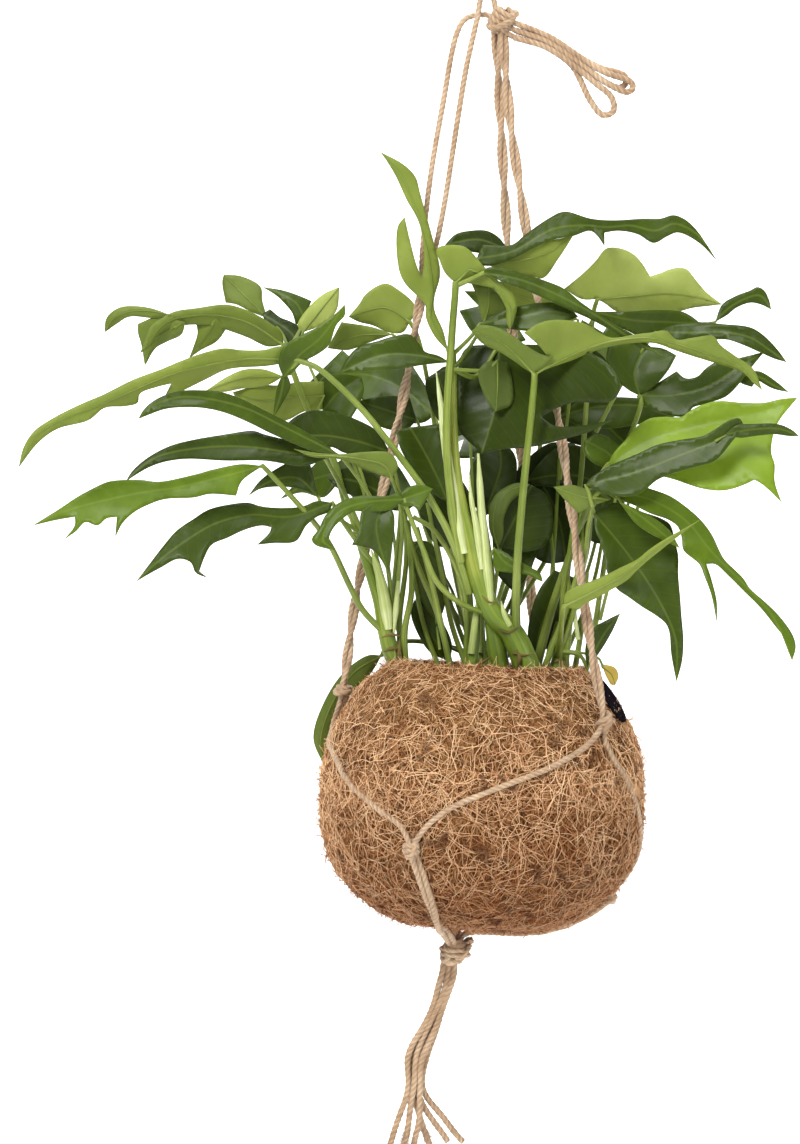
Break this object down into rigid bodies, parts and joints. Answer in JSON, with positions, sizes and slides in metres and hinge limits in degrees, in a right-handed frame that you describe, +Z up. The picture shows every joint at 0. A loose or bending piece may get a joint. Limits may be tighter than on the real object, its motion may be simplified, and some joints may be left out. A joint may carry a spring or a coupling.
{
  "type": "hanging kokedama plant",
  "caption": "Split-leaf houseplant in a coir-fibre ball, hanging in a knotted three-leg jute net from one small loop, with loose jute ends above and below.",
  "frame": {"origin": "inner top of the hanging loop, where the hook's wire lies", "axes": "+Z up, +X to the right seen from the front, -Y towards the viewer"},
  "size_m": [0.4344, 0.2272, 0.6618],
  "materials": {
    "leaves_left": "satin",
    "leaves_centre": "satin",
    "leaves_right": "satin",
    "leaves_back": "satin",
    "coir": "matt fibrous",
    "soil": "matt crumbly",
    "jute": "matt twisted",
    "tag": "satin"
  },
  "bodies": {
    "root": {"left_stem_with_leaves": "leaves_left", "centre_stem_with_leaves": "leaves_centre", "right_stem_with_leaves": "leaves_right", "back_stem_with_leaves": "leaves_back", "coir_ball": "coir", "potting_soil": "soil", "jute_hanger": "jute", "jute_bight_upper": "jute", "jute_bight_middle": "jute", "jute_bight_lower": "jute", "jute_end_1": "jute", "jute_end_2": "jute", "jute_end_3": "jute", "jute_end_4": "jute", "jute_end_5": "jute", "jute_end_6": "jute", "plant_tag": "tag"}
  },
  "joints": []
}
